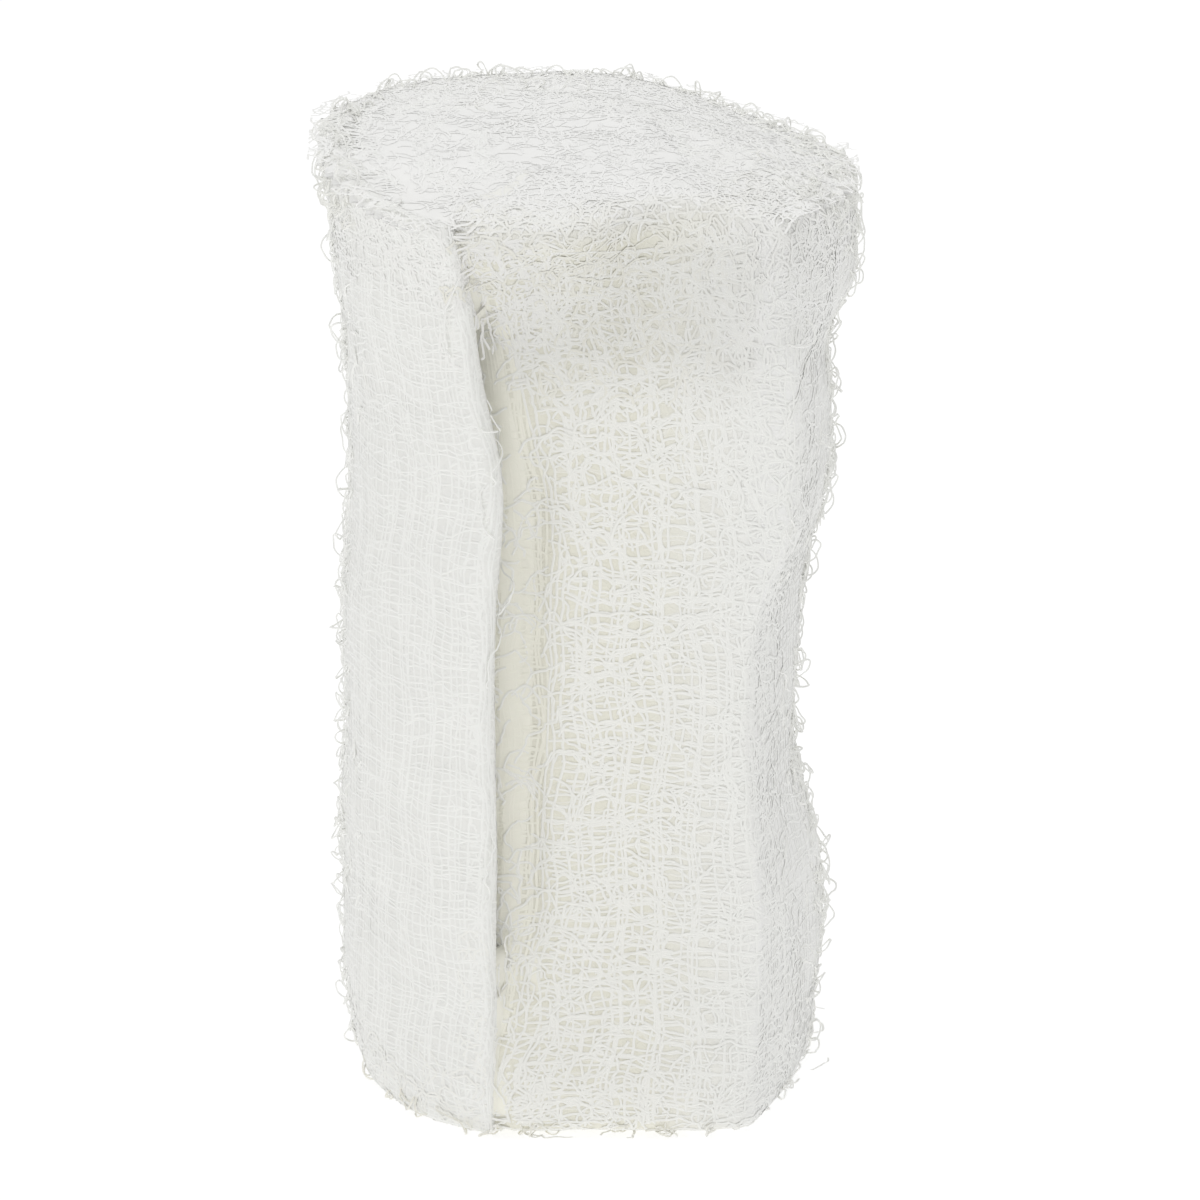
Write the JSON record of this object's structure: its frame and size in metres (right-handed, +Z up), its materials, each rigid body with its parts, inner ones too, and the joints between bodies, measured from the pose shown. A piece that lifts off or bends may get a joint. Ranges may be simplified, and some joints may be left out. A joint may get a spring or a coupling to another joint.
{
  "type": "gauze bandage roll",
  "caption": "Fluffed crinkle gauze bandage wound into an upright roll, its free end lying open down the front.",
  "frame": {"origin": "middle of the outline's box, on the surface that the roll stands on", "axes": "+Z up along the winding's axis, -Y towards the free end's side, +X to the right seen from there"},
  "size_m": [0.0634, 0.0609, 0.1161],
  "materials": {
    "roll_cotton": "matte",
    "loose_cotton": "matte"
  },
  "bodies": {
    "root": {"wound_roll": "roll_cotton", "loose_end": "loose_cotton"}
  },
  "joints": []
}
